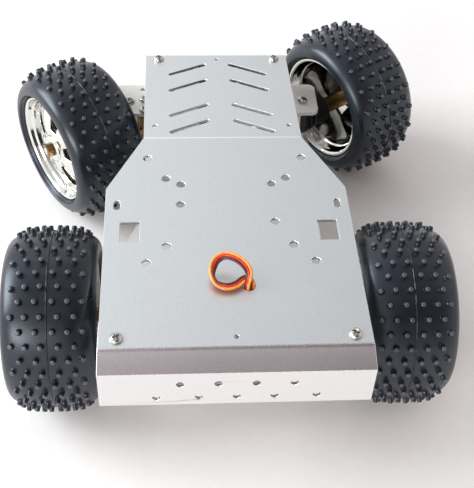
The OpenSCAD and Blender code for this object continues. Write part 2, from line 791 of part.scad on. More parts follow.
deck_plate();
rear_bumper();
bottom_plate();
corner_nuts();
deck_screws();
pan_head_screws();
front_upper_plate();
front_posts();
nose_bracket();
kingpin_screws();
kingpin_spacers();
kingpin_nuts();
steering_stops();
servo_case();
servo_gear_cover();
servo_base_cover();
servo_spacers();
servo_screws();
rear_side(-1) motor_bracket();  // motor_bracket_left
rear_side(1) motor_bracket();  // motor_bracket_right
rear_side(-1) gearbox();  // gearbox_left
rear_side(1) gearbox();  // gearbox_right
rear_side(-1) motor_can();  // motor_can_left
rear_side(1) motor_can();  // motor_can_right
motor_end_caps();
motor_screws();
servo_lead();
servo_plug();
at_kingpin(-1) knuckle();  // knuckle_left
at_kingpin(1) knuckle();  // knuckle_right
at_kingpin(-1) bearings();  // bearings_left
at_kingpin(1) bearings();  // bearings_right
at_kingpin(-1) arm_screw();  // arm_screw_left
at_kingpin(1) arm_screw();  // arm_screw_right
tie_rod();
rod_ends();
servo_horn();
servo_shaft();
horn_screws();
front_wheel(-1) tyre();  // tyre_front_left
front_wheel(1) tyre();  // tyre_front_right
rear_wheel(-1) tyre();  // tyre_rear_left
rear_wheel(1) tyre();  // tyre_rear_right
front_wheel(-1) rim();  // rim_front_left
front_wheel(1) rim();  // rim_front_right
rear_wheel(-1) rim();  // rim_rear_left
rear_wheel(1) rim();  // rim_rear_right
front_wheel(-1) hex_hub(-16.7, -5, axle_r);  // hex_hub_front_left
front_wheel(1) hex_hub(-16.7, -5, axle_r);  // hex_hub_front_right
rear_wheel(-1) hex_hub(-26.7, -16, shaft_r);  // hex_hub_rear_left
rear_wheel(1) hex_hub(-26.7, -16, shaft_r);  // hex_hub_rear_right
front_wheel(-1) wheel_nut();  // wheel_nut_front_left
front_wheel(1) wheel_nut();  // wheel_nut_front_right
rear_wheel(-1) wheel_nut();  // wheel_nut_rear_left
rear_wheel(1) wheel_nut();  // wheel_nut_rear_right
at_kingpin(-1) axle_front();  // axle_front_left
at_kingpin(1) axle_front();  // axle_front_right
rear_side(-1) motor_shaft();  // motor_shaft_left
rear_side(1) motor_shaft();  // motor_shaft_right
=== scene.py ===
"""Looks of the four wheel robot chassis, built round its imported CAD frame. Sizes here are in millimetres, and
mm() turns a point into Blender's metres. +X is right, +Y forward and +Z up, with the origin on the ground."""

import json
import math
import random

import bmesh
import bpy
from mathutils import Matrix, Vector


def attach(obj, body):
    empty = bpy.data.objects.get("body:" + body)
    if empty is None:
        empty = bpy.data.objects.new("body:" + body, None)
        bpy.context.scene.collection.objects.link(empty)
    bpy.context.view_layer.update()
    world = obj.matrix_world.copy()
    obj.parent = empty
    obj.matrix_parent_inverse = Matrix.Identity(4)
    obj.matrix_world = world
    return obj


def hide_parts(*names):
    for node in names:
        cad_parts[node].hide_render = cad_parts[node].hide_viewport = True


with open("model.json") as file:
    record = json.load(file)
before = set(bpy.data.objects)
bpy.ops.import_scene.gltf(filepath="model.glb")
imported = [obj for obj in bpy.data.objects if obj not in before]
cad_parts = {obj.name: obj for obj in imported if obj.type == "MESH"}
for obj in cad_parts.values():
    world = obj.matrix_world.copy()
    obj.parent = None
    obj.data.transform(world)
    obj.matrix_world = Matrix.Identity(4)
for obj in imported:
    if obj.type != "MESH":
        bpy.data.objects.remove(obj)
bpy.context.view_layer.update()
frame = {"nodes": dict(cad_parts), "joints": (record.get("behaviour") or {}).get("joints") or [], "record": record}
NODES = frame["nodes"]
scene = bpy.context.scene


def mm(*v):
    """A point or a size in millimetres, as metres."""
    v = v[0] if len(v) == 1 and hasattr(v[0], "__len__") else v
    return Vector([x / 1000 for x in v])


# Camera

CAMERA_AT = (-24.9, -368.4, 398.2)
CAMERA_YAW, CAMERA_DOWN, CAMERA_ROLL = (math.radians(a) for a in (5.256, 46.05, 2.977))
CAMERA_LENS = 73.03


def make_camera():
    flat = math.cos(CAMERA_DOWN)
    ahead = Vector((math.sin(CAMERA_YAW) * flat, math.cos(CAMERA_YAW) * flat, -math.sin(CAMERA_DOWN)))
    level = Vector((math.cos(CAMERA_YAW), -math.sin(CAMERA_YAW), 0))
    upright = level.cross(ahead)
    right = level * math.cos(CAMERA_ROLL) + upright * math.sin(CAMERA_ROLL)
    up = upright * math.cos(CAMERA_ROLL) - level * math.sin(CAMERA_ROLL)
    data = bpy.data.cameras.new("camera")
    data.sensor_fit = "VERTICAL"
    data.sensor_height = 36
    data.lens = CAMERA_LENS
    data.clip_start, data.clip_end = 0.01, 20
    camera = bpy.data.objects.new("camera", data)
    scene.collection.objects.link(camera)
    facing = Matrix((right, up, -ahead)).transposed().to_4x4()
    camera.matrix_world = Matrix.Translation(mm(CAMERA_AT)) @ facing
    scene.camera = camera


make_camera()


# Materials

class Look:
    """A Principled material and the nodes that feed it. Patterns lie in the piece's own space."""

    def __init__(self, name, color, metallic=0.0, roughness=0.5, **sockets):
        self.material = bpy.data.materials.new(name)
        self.material.use_nodes = True
        self.tree = self.material.node_tree
        self.shader = self.tree.nodes["Principled BSDF"]
        self.color = (*color, 1.0)
        self.put("Base Color", self.color)
        self.put("Metallic", metallic)
        self.put("Roughness", roughness)
        for key, value in sockets.items():
            self.put(key.replace("_", " "), value)

    def put(self, socket, value):
        if isinstance(value, bpy.types.NodeSocket):
            self.tree.links.new(value, self.shader.inputs[socket])
        else:
            self.shader.inputs[socket].default_value = value

    def node(self, kind, **values):
        made = self.tree.nodes.new(kind)
        for key, value in values.items():
            if key in made.inputs:
                made.inputs[key].default_value = value
            else:
                setattr(made, key, value)
        return made

    def place(self, stretch=(1, 1, 1)):
        """Object coordinates, multiplied by stretch."""
        where = self.node("ShaderNodeTexCoord").outputs["Object"]
        if tuple(stretch) == (1, 1, 1):
            return where
        mapping = self.node("ShaderNodeMapping")
        mapping.inputs["Scale"].default_value = stretch
        self.tree.links.new(where, mapping.inputs["Vector"])
        return mapping.outputs["Vector"]

    def noise(self, size, detail=2.0, stretch=(1, 1, 1), rough=0.5):
        """Noise with features of about size millimetres, 0 to 1."""
        made = self.node("ShaderNodeTexNoise", Scale=1000 / size, Detail=detail, Roughness=rough)
        self.tree.links.new(self.place(stretch), made.inputs["Vector"])
        return made.outputs["Fac"]

    def span(self, value, low, high, start=0.3, end=0.7):
        made = self.node("ShaderNodeMapRange")
        for key, number in (("From Min", start), ("From Max", end), ("To Min", low), ("To Max", high)):
            made.inputs[key].default_value = number
        self.tree.links.new(value, made.inputs["Value"])
        return made.outputs["Result"]

    def shades(self, value, *colors, start=0.3, end=0.7):
        """The value from start to end as a run of colours."""
        ramp = self.node("ShaderNodeValToRGB")
        stops = ramp.color_ramp.elements
        while len(stops) < len(colors):
            stops.new(0.5)
        for i, color in enumerate(colors):
            stops[i].position = start + (end - start) * i / (len(colors) - 1)
            stops[i].color = (*color, 1)
        self.tree.links.new(value, ramp.inputs["Fac"])
        return ramp.outputs["Color"]

    def bump(self, height, depth):
        """Bump of depth millimetres."""
        made = self.node("ShaderNodeBump", Strength=1.0, Distance=depth / 1000)
        self.tree.links.new(height, made.inputs["Height"])
        self.put("Normal", made.outputs["Normal"])


def tint(color, factor):
    return tuple(c * factor for c in color)


def blasted_metal(name, color, roughness, grain=0.35, depth=0.012, metallic=1.0, speckle=0.1):
    """Sand-blasted and anodised sheet: a fine grain in height, gloss and shade, and slow handling marks."""
    look = Look(name, color, metallic=metallic)
    fine = look.noise(grain, detail=3.0, rough=0.65)
    slow = look.noise(28, detail=3.0)
    look.put("Base Color", look.shades(fine, tint(color, 1 - speckle), color, tint(color, 1 + 0.7 * speckle)))
    look.put("Roughness", look.span(slow, roughness - 0.03, roughness + 0.05))
    look.bump(fine, depth)
    return look.material


def cut_metal(name, color):
    """A sheet's sheared and drilled edges: bright, with short drag lines across the thickness."""
    look = Look(name, color, metallic=1.0)
    lines = look.noise(0.5, detail=2.0, stretch=(1, 1, 0.15))
    look.put("Roughness", look.span(lines, 0.16, 0.34))
    look.bump(lines, 0.02)
    return look.material


def turned_metal(name, color, roughness, along=(1, 1, 1), wear=0.9, depth=0.012, spread=0.07):
    """Drawn or turned metal: fine lines one way, slightly uneven gloss."""
    look = Look(name, color, metallic=1.0)
    lines = look.noise(0.4, detail=3.0, stretch=along)
    stain = look.noise(9, detail=4.0)
    look.put("Base Color", look.shades(stain, tint(color, wear), color))
    look.put("Roughness", look.span(lines, roughness - spread, roughness + spread))
    look.bump(lines, depth)
    return look.material


def moulded_plastic(name, color, roughness, grain=0.5, depth=0.02):
    """Moulded plastic with a spark-eroded grain."""
    look = Look(name, color)
    fine = look.noise(grain, detail=2.0)
    look.put("Roughness", look.span(look.noise(12), roughness - 0.05, roughness + 0.07))
    look.put("Base Color", look.shades(fine, tint(color, 0.8), tint(color, 1.25)))
    look.bump(fine, depth)
    return look.material


def tyre_rubber(name, color, roughness):
    """Moulded rubber: fine grain, a slow bloom in shade and gloss."""
    look = Look(name, color, Specular_IOR_Level=0.6, Specular_Tint=(0.8, 0.9, 1.0, 1.0))
    bloom = look.noise(14, detail=5.0, rough=0.6)
    fine = look.noise(0.7, detail=3.0)
    look.put("Base Color", look.shades(bloom, tint(color, 0.7), tint(color, 1.35)))
    look.put("Roughness", look.span(bloom, roughness - 0.05, roughness + 0.05))
    look.bump(fine, 0.025)
    return look.material


def rim_chrome():
    """Vacuum-plated plastic: a near mirror over a slightly wavy moulding."""
    look = Look("rim_chrome", CHROME, metallic=1.0)
    wave = look.noise(7, detail=1.0)
    dust = look.noise(0.9, detail=3.0)
    look.put("Roughness", look.span(dust, 0.04, 0.11))
    look.bump(wave, 0.05)
    return look.material


def rim_painted_shade():
    """A dark copy of the rim chrome for its inside: painted shade where the inside lies in shadow. Glossy, with
    flow marks.
    """
    look = Look("rim_painted_shade", (0.22, 0.22, 0.2), metallic=1.0)
    flow = look.noise(6, detail=3.0, stretch=(0.4, 1, 1))
    look.put("Roughness", look.span(flow, 0.05, 0.13))
    look.bump(flow, 0.12)
    return look.material


def wire_insulation(name, color):
    """Glossy wire insulation with a soft unevenness."""
    look = Look(name, color, roughness=0.28, Coat_Weight=0.25, Coat_Roughness=0.12)
    marks = look.noise(1.6, detail=2.0)
    look.put("Base Color", look.shades(marks, tint(color, 0.82), color, tint(color, 1.12)))
    look.bump(marks, 0.02)
    return look.material


DECK_COLOR = (0.66, 0.69, 0.705)
STEEL_COLOR = (0.58, 0.57, 0.54)
BRASS_COLOR = (0.5, 0.31, 0.13)
BLACK = (0.012, 0.012, 0.013)
RUBBER = (0.008, 0.0095, 0.015)
CHROME = (0.74, 0.74, 0.7)

LOOKS = {
    "deck_metal": blasted_metal("deck_metal", DECK_COLOR, 0.4, grain=0.5, depth=0.015, speckle=0.12),
    # The pink in the bumper metal's colour is painted reflection: the reddish near side mirrored in the sloping
    # flange.
    "bumper_metal": blasted_metal("bumper_metal", (0.67, 0.61, 0.62), 0.24, grain=0.5, depth=0.006),
    # The bumper's rear face gets a lighter, more diffuse copy of the bumper metal: painted light where that face
    # looks bright.
    "bumper_face_painted_light": blasted_metal("bumper_face_painted_light", (0.67, 0.665, 0.67), 0.45, grain=0.5, depth=0.006,
                                 metallic=0.3),
    "plate_metal": blasted_metal("plate_metal", (0.8, 0.79, 0.76), 0.42, metallic=0.25),
    "edge_metal": cut_metal("edge_metal", (0.86, 0.87, 0.88)),
    "horn_metal": blasted_metal("horn_metal", (0.55, 0.56, 0.58), 0.35),
    "brass": turned_metal("brass", BRASS_COLOR, 0.24, along=(0.3, 0.3, 1), wear=0.95, depth=0.001,
                          spread=0.02),
    # The wheel nuts take a darker copy of the brass: painted shade inside the hub.
    "nut_brass_painted_shade": turned_metal("nut_brass_painted_shade", tint(BRASS_COLOR, 0.45), 0.22, wear=0.9, depth=0.001, spread=0.02),
    "screw_steel": turned_metal("screw_steel", STEEL_COLOR, 0.2),
    "stop_metal": turned_metal("stop_metal", (0.8, 0.79, 0.76), 0.22),
    "black_plastic": moulded_plastic("black_plastic", BLACK, 0.42),
    "black_nylon": moulded_plastic("black_nylon", BLACK, 0.35, grain=0.8, depth=0.015),
    "gearbox_steel": turned_metal("gearbox_steel", (0.5, 0.51, 0.52), 0.3, along=(4, 0.3, 0.3)),
    "motor_steel": turned_metal("motor_steel", (0.62, 0.62, 0.63), 0.24, along=(4, 0.3, 0.3)),
    "bearing_steel": turned_metal("bearing_steel", (0.66, 0.66, 0.67), 0.18),
    "shaft_steel": turned_metal("shaft_steel", (0.64, 0.64, 0.65), 0.2),
    "tyre_rubber": tyre_rubber("tyre_rubber", RUBBER, 0.31),
    # A lighter, glossier copy of the rubber for the pin tips: painted sheen where the tips catch the light.
    "pin_tips_painted_sheen": tyre_rubber("pin_tips_painted_sheen", (0.06, 0.065, 0.074), 0.27),
    "rim_chrome": rim_chrome(),
    "rim_painted_shade": rim_painted_shade(),
    "wire_brown": wire_insulation("wire_brown", (0.075, 0.018, 0.012)),
    "wire_red": wire_insulation("wire_red", (0.55, 0.03, 0.015)),
    "wire_orange": wire_insulation("wire_orange", (0.85, 0.3, 0.04)),
}


# Mesh helpers

def new_piece(name, bm, *looks, smooth=math.radians(40)):
    """An object from a bmesh, smooth except over edges sharper than the angle."""
    bmesh.ops.recalc_face_normals(bm, faces=bm.faces)
    for face in bm.faces:
        face.smooth = True
    for edge in bm.edges:
        edge.smooth = not edge.is_manifold or edge.calc_face_angle(0) < smooth
    data = bpy.data.meshes.new(name)
    bm.to_mesh(data)
    bm.free()
    for look in looks:
        data.materials.append(LOOKS[look])
    piece = bpy.data.objects.new(name, data)
    scene.collection.objects.link(piece)
    return piece


def copy_piece(name, source):
    piece = bpy.data.objects.new(name, source.data)
    scene.collection.objects.link(piece)
    return piece


def tidy_normals(piece):
    """Large flat faces stay flat, and the rounded strips blend into them."""
    made = piece.modifiers.new("normals", "WEIGHTED_NORMAL")
    made.mode = "FACE_AREA"
    made.weight = 50
    made.keep_sharp = False


def add_bevel(piece, width, segments=2, angle=30, look=None):
    """Rounds a piece's edges, width in millimetres. The rounded strip may have its own material."""
    made = piece.modifiers.new("bevel", "BEVEL")
    made.width = width / 1000
    made.segments = segments
    made.limit_method = "ANGLE"
    made.angle_limit = math.radians(angle)
    made.use_clamp_overlap = False
    if look is not None:
        piece.data.materials.append(LOOKS[look])
        made.material = len(piece.data.materials) - 1


def turn(bm, outline, segments=64, axis="X", closed=True):
    """Revolves (along, radius) points round an axis. A point with no radius is a pole."""
    rings = []
    for along, radius in outline:
        if radius < 1e-6:
            rings.append([bm.verts.new(mm(along, 0, 0))])
            continue
        rings.append([bm.verts.new(mm(along, radius * math.cos(a), radius * math.sin(a)))
                      for a in (2 * math.pi * i / segments for i in range(segments))])
    pairs = list(zip(rings, rings[1:] + rings[:1])) if closed else list(zip(rings, rings[1:]))
    for a, b in pairs:
        for i in range(segments):
            j = (i + 1) % segments
            corners = [a[i % len(a)], a[j % len(a)], b[j % len(b)], b[i % len(b)]]
            corners = [v for k, v in enumerate(corners) if v not in corners[:k]]
            if len(corners) > 2:
                bm.faces.new(corners)
    if axis != "X":
        spin = Matrix.Rotation(-math.pi / 2, 3, "Y")
        for ring in rings:
            for v in ring:
                v.co = spin @ v.co


def join(bm, source, matrix):
    """Adds a copy of a mesh to a bmesh, moved by a matrix."""
    start = len(bm.verts)
    bm.from_mesh(source)
    bm.verts.ensure_lookup_table()
    bmesh.ops.transform(bm, matrix=matrix, verts=bm.verts[start:])


# Cord: the servo's lead, three wires side by side. It comes first, after the camera.

WIRE_D = 1.25
WIRE_PITCH = 0.97 * WIRE_D
LEAD_ROUTE = [
    (0, 42, 66), (0, 36, 65.5), (0, 28, 63), (0, 15, 60.5), (0, 0, 59.5), (0, -15, 59), (0, -30, 58.5),
    (0, -45, 58.5), (0, -58, 59), (1, -72, 60.5), (3, -82, 63), (5, -89, 68), (5.7, -91.3, 74),
    (5.7, -91.3, 80), (5.7, -91.3, 84), (6.4, -90.1, 87.2), (6.4, -87.8, 89.5), (4.4, -84.6, 90.7),
    (0.8, -81.4, 91), (-3.2, -79.6, 90.4), (-6.8, -80.8, 89), (-8.6, -84.2, 87.4), (-8.8, -87.8, 86.2),
    (-6.8, -91.2, 85.4), (-2.8, -92.8, 85.2), (1.2, -91.6, 85.2), (4.4, -88.7, 85.2), (7.2, -87.6, 84.8),
    (8.2, -88.8, 83.2), (7.9, -89.9, 80), (7.9, -89.9, 75), (8.4, -90.6, 68), (8, -91.8, 58),
    (7.6, -92.8, 48), (7, -93.8, 39), (5, -95.2, 32.5), (1, -97, 28.8), (-5, -98.8, 27.4),
    (-12, -99.8, 27.4), (-20, -99.5, 27.4), (-28, -98, 27.4)]
# The way the flat lead's broad side faces, from route point to route point
LEAD_FACING = [
    (0, (0, 0, -1)), (10, (0, -0.2, -1)), (12, (-0.84, -0.54, 0)), (14, (-0.84, -0.54, 0)),
    (16, (-0.5, -0.3, 0.8)), (18, (0, -0.5, 0.87)), (20, (0.3, -0.4, 0.87)), (22, (0.8, 0.1, 0.6)),
    (24, (0.1, -0.1, 1)), (26, (0, 0, 1)), (28, (0.84, 0.54, 0.1)), (30, (0.84, 0.54, 0)),
    (34, (0.7, 0.7, 0.1)), (37, (0.1, 0.3, 1)), (40, (0, 0, 1))]


def smooth_route(points, steps=6):
    """A Catmull-Rom curve through the points, as (position, tangent, place along the list)."""
    ends = [2 * points[0] - points[1], *points, 2 * points[-1] - points[-2]]
    made = []
    for i in range(len(points) - 1):
        a, b, c, d = ends[i:i + 4]
        slope, bend, twist = c - a, 2 * a - 5 * b + 4 * c - d, 3 * b - a - 3 * c + d
        for k in range(steps + (i == len(points) - 2)):
            t = k / steps
            made.append((
                0.5 * (2 * b + slope * t + bend * t**2 + twist * t**3),
                (0.5 * (slope + 2 * bend * t + 3 * twist * t**2)).normalized(), i + t))
    return made


def facing_at(place):
    for (i, a), (j, b) in zip(LEAD_FACING, LEAD_FACING[1:]):
        if place <= j:
            t = (place - i) / (j - i)
            t = t * t * (3 - 2 * t)
            return Vector(a).lerp(Vector(b), t)
    return Vector(LEAD_FACING[-1][1])


def servo_lead():
    line = smooth_route([Vector(p) for p in LEAD_ROUTE])
    bm = bmesh.new()
    sides = 12
    for wire, beside in enumerate((-1, 0, 1)):
        rings = []
        for at, along, place in line:
            across = along.cross(facing_at(place)).normalized()
            out = across.cross(along)
            middle = at + across * beside * WIRE_PITCH
            rings.append([bm.verts.new(mm(middle + WIRE_D / 2 * (math.cos(a) * across + math.sin(a) * out)))
                          for a in (2 * math.pi * k / sides for k in range(sides))])
        for a, b in zip(rings, rings[1:]):
            for k in range(sides):
                bm.faces.new((a[k], a[(k + 1) % sides], b[(k + 1) % sides], b[k])).material_index = wire
        for ring in (rings[0], rings[-1]):
            bm.faces.new(ring).material_index = wire
    piece = new_piece("servo_lead_wires", bm, "wire_brown", "wire_red", "wire_orange")
    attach(piece, "chassis")
    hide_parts("servo_lead")
    mm(LEAD_ROUTE[0])
    [mm(at) for at, _, _ in line]


servo_lead()


# Floor and light

def floor_look():
    look = Look("floor_paper", (0.86, 0.85, 0.84), roughness=0.8)
    grain = look.noise(6, detail=3.0)
    look.put("Base Color", look.shades(grain, (0.85, 0.84, 0.83), (0.87, 0.86, 0.85)))
    return look.material


def make_stage():
    bm = bmesh.new()
    half = 4000
    bm.faces.new([bm.verts.new(mm(x, y, 0)) for x, y in
                  ((-half, -half), (half, -half), (half, half), (-half, half))])
    data = bpy.data.meshes.new("floor")
    bm.to_mesh(data)
    bm.free()
    data.materials.append(floor_look())
    floor = bpy.data.objects.new("floor", data)
    scene.collection.objects.link(floor)


def area_light(name, at, toward, size, power, color):
    data = bpy.data.lights.new(name, "AREA")
    data.shape = "RECTANGLE"
    data.size, data.size_y = size[0] / 1000, size[1] / 1000
    data.energy = power
    data.color = color
    light = bpy.data.objects.new(name, data)
    scene.collection.objects.link(light)
    light.location = mm(at)
    light.rotation_euler = (mm(toward) - mm(at)).to_track_quat("-Z", "Y").to_euler()


# The room's light, as places along a ramp and colours
ROOM_BY_HEIGHT = ((0.0, (0.74, 0.73, 0.73)), (0.53, (0.73, 0.73, 0.74)), (0.77, (0.82, 0.825, 0.83)),
                   (0.86, (0.55, 0.555, 0.565)), (1.0, (0.36, 0.35, 0.355)))
ROOM_BY_SIDE = ((0.0, (0.68, 0.69, 0.7)), (0.47, (0.78, 0.78, 0.785)), (0.62, (0.4, 0.395, 0.39)),
                 (0.78, (0.56, 0.53, 0.51)), (1.0, (0.66, 0.61, 0.575)))
SHADED_WAY = (0.3, -0.7, 0.65)
ROOM_BY_SHADE = ((0.7, (1, 1, 1)), (0.88, (0.66, 0.58, 0.58)), (1.0, (0.1, 0.05, 0.055)))
ROOM_STRENGTH = 2.0


def make_world():
    """A pale room: bright walls, darker overhead and just right of the middle, warmer to the right, and shaded
    and reddish over the near side."""
    world = bpy.data.worlds.new("room")
    scene.world = world
    world.use_nodes = True
    tree = world.node_tree
    tree.nodes.clear()
    where = tree.nodes.new("ShaderNodeTexCoord")
    parts = tree.nodes.new("ShaderNodeSeparateXYZ")
    tree.links.new(where.outputs["Generated"], parts.inputs[0])

    def ramp(source, stops):
        made = tree.nodes.new("ShaderNodeValToRGB")
        while len(made.color_ramp.elements) < len(stops):
            made.color_ramp.elements.new(0.5)
        for stop, (position, color) in zip(made.color_ramp.elements, stops):
            stop.position = position
            stop.color = (*color, 1)
        tree.links.new(source, made.inputs["Fac"])
        return made.outputs["Color"]

    height = ramp(parts.outputs["Z"], ROOM_BY_HEIGHT)
    across = tree.nodes.new("ShaderNodeMapRange")
    across.inputs["From Min"].default_value = -1
    tree.links.new(parts.outputs["X"], across.inputs["Value"])
    side = ramp(across.outputs["Result"], ROOM_BY_SIDE)
    both = tree.nodes.new("ShaderNodeMix")
    both.data_type = "RGBA"
    both.blend_type = "MULTIPLY"
    both.inputs["Factor"].default_value = 1
    tree.links.new(height, both.inputs["A"])
    tree.links.new(side, both.inputs["B"])
    toward = tree.nodes.new("ShaderNodeVectorMath")
    toward.operation = "DOT_PRODUCT"
    toward.inputs[1].default_value = SHADED_WAY
    tree.links.new(where.outputs["Generated"], toward.inputs[0])
    shaded = tree.nodes.new("ShaderNodeMix")
    shaded.data_type = "RGBA"
    shaded.blend_type = "MULTIPLY"
    shaded.inputs["Factor"].default_value = 1
    tree.links.new(both.outputs["Result"], shaded.inputs["A"])
    tree.links.new(ramp(toward.outputs["Value"], ROOM_BY_SHADE), shaded.inputs["B"])
    sky = tree.nodes.new("ShaderNodeBackground")
    sky.inputs["Strength"].default_value = ROOM_STRENGTH
    tree.links.new(shaded.outputs["Result"], sky.inputs["Color"])
    out = tree.nodes.new("ShaderNodeOutputWorld")
    tree.links.new(sky.outputs["Background"], out.inputs["Surface"])


make_stage()
make_world()
area_light("window", (-2100, 350, 1300), (0, 0, 0), (1700, 1200), 64, (0.95, 0.98, 1.0))
area_light("near_fill", (-1300, -2000, 1000), (100, -300, 0), (1300, 700), 32, (1.0, 0.97, 0.95))
scene.view_settings.view_transform = "Standard"


# Tyres

TYRE_HALF = 20.6
CARCASS_TOP = 40.2
SHOULDER_R = 31.5
SHOULDER_POWER = 2.8
BEAD_R, LIP_R, LIP_O = 28.4, 29.8, 16.9
PIN_ROWS = 40
PIN_PLACES = (-14.8, -8.8, -2.5, 4.7, 11.4)
# The outermost pins are shorter, so that the shoulder stays inside the tyre's box
OUTER_PIN_O, OUTER_PIN = 14, 0.72
PIN_OUTLINE = ((-0.5, 1.7), (0.1, 1.55), (0.3, 1.4), (1.2, 1.26), (2.0, 1.16), (2.35, 1.08), (2.55, 0.85),
               (2.64, 0.5), (2.66, 0))
# How far each tyre is turned on its axle, in degrees: the tread repeats every two rows
TYRE_TURN = {"front_left": 0, "front_right": 0, "rear_left": -3.2, "rear_right": 0}


def crown(o):
    """The carcass's radius at a distance from the tyre's middle."""
    share = (1 - (abs(o) / TYRE_HALF) ** SHOULDER_POWER) ** (1 / SHOULDER_POWER)
    return SHOULDER_R + (CARCASS_TOP - SHOULDER_R) * share


def tyre_outline():
    """The closed section of the carcass, (outward, radius), from bead to bead and back inside."""
    steps = 22
    over = [TYRE_HALF * math.sin(math.pi / 2 * i / steps) for i in range(-steps, steps + 1)]
    outer = []
    for o in over:
        if abs(o) < 1e-6:
            outer += [(-0.4, crown(0.4)), (-0.22, crown(0) + 0.34), (0.0, crown(0) + 0.4),
                      (0.22, crown(0) + 0.34), (0.4, crown(0.4))]
        else:
            outer.append((o, crown(o)))
    bead = [(LIP_O, BEAD_R), (LIP_O + 0.1, LIP_R), (LIP_O + 0.6, LIP_R + 0.25), (LIP_O + 1.5, LIP_R + 0.3),
            (LIP_O + 2.1, LIP_R + 0.75), (LIP_O + 2.3, LIP_R + 1.1), (LIP_O + 3.0, LIP_R + 1.25)]
    inner = [((TYRE_HALF - 2.6) * math.sin(a), 31 + (CARCASS_TOP - 34) * math.cos(a))
             for a in (math.pi / 2 * i / 8 for i in range(8, -9, -1))]
    return ([(-o, r) for o, r in bead] + outer + bead[::-1]
            + [(12.6, BEAD_R)] + inner + [(-12.6, BEAD_R)])


def make_tyre():
    bm = bmesh.new()
    turn(bm, tyre_outline(), segments=120)
    pin = bmesh.new()
    turn(pin, PIN_OUTLINE, segments=12, axis="Z", closed=False)
    bmesh.ops.contextual_create(pin, geom=[e for e in pin.edges if e.is_boundary])
    for face in pin.faces:
        # Faces near the pin's top take the lighter tip rubber: painted sheen.
        face.material_index = 1 if min(v.co.z for v in face.verts) > 0.0023 else 0
    data = bpy.data.meshes.new("pin")
    pin.to_mesh(data)
    pin.free()
    for row in range(PIN_ROWS):
        around = Matrix.Rotation(2 * math.pi * row / PIN_ROWS, 4, "X")
        for place in PIN_PLACES:
            o = place if row % 2 else -place
            slope = (crown(o + 0.05) - crown(o - 0.05)) / 0.1
            lean = Matrix.Rotation(-math.atan(slope), 4, "Y")
            height = Matrix.Diagonal((1, 1, OUTER_PIN if abs(o) > OUTER_PIN_O else 1, 1))
            join(bm, data, around @ Matrix.Translation(mm(o, 0, crown(o))) @ lean @ height)
    bpy.data.meshes.remove(data)
    return new_piece("tyre_front_left_rubber", bm, "tyre_rubber", "pin_tips_painted_sheen", smooth=math.radians(50))


# Rims

SPOKES = 5
WINDOW_HALF = 14
WINDOW_R = (11, 23.5)
# The web's section: radius, back, front
WEB = (
    (7, 12.2, 16.6), (8.6, 12.1, 16.5), (11, 12, 16.2), (12.6, 11.9, 15.9), (14, 11.8, 15.6),
    (16, 11.3, 15.05), (18, 10.8, 14.45), (20, 10.2, 13.8), (22, 9.4, 13), (23.5, 8.8, 12.4),
    (24.4, 8.45, 12.05), (25.4, 8.05, 11.6))
RING_OUTLINE = [
    (17.1, 28.3), (17.15, 29.5), (17.5, 29.7), (18.0, 29.65), (18.2, 29.3), (18.2, 28.7), (17.9, 28.2),
    (17.0, 27.7), (15.6, 27.3), (15.1, 26.9), (14.9, 26.3), (13.0, 25.7), (11.6, 25.3), (10.4, 25.05),
    (8.0, 25), (-11.5, 25), (-12.4, 26.2), (-14.6, 26.5), (-15.2, 27.2), (-17.2, 27.5), (-18.0, 28),
    (-18.2, 28.6), (-18.2, 29.3), (-18.0, 29.65), (-17.5, 29.7), (-17.15, 29.5), (-17.1, 28.3),
    (-12.4, 28.1), (-11, 26.6), (11, 26.6), (12.4, 28.1)]
HUB_OUTLINE = [
    (3, 4.7), (3, 7.4), (3.4, 8), (15.6, 8), (16.6, 7.8), (17.3, 7.3), (17.8, 6.9), (18, 6.3), (18, 2.1),
    (8, 2.1), (8, 4.7)]


def add_web(bm):
    """The spokes and the windows between them, as one closed slab on a polar grid. Each spoke is crowned."""
    sector = 360 / SPOKES
    turns = []
    for k in range(SPOKES):
        turns += [(k * sector + a, True, 1) for a in (-WINDOW_HALF, -7, 0, 7)]
        spoke = sector - 2 * WINDOW_HALF
        turns += [(k * sector + WINDOW_HALF + spoke * n / 8, False, (n - 4) / 4) for n in range(8)]
    count, last = len(turns), len(WEB) - 1
    front, back = {}, {}
    for j, (angle, _, share) in enumerate(turns):
        a = math.radians(angle)
        for i, (r, low, high) in enumerate(WEB):
            y, z = r * math.sin(a), r * math.cos(a)
            rise = 0.9 * math.cos(share * math.pi / 2) ** 2 * math.sin(math.pi * i / last)
            front[i, j] = bm.verts.new(mm(high + rise, y, z))
            back[i, j] = bm.verts.new(mm(low, y, z))

    def solid(i, j):
        return 0 <= i < last and not (turns[j][1] and WINDOW_R[0] <= WEB[i][0] < WINDOW_R[1])

    for j in range(count):
        n = (j + 1) % count
        for i in range(last):
            if not solid(i, j):
                continue
            bm.faces.new((front[i, j], front[i + 1, j], front[i + 1, n], front[i, n]))
            bm.faces.new((back[i, j], back[i, n], back[i + 1, n], back[i + 1, j]))
            for p, q, shut in (((i, j), (i, n), solid(i - 1, j)),
                               ((i + 1, j), (i + 1, n), solid(i + 1, j)),
                               ((i, j), (i + 1, j), solid(i, (j - 1) % count)),
                               ((i, n), (i + 1, n), solid(i, n))):
                if not shut:
                    bm.faces.new((front[p], front[q], back[q], back[p]))
    for v in [v for v in bm.verts if not v.link_faces]:
        bm.verts.remove(v)


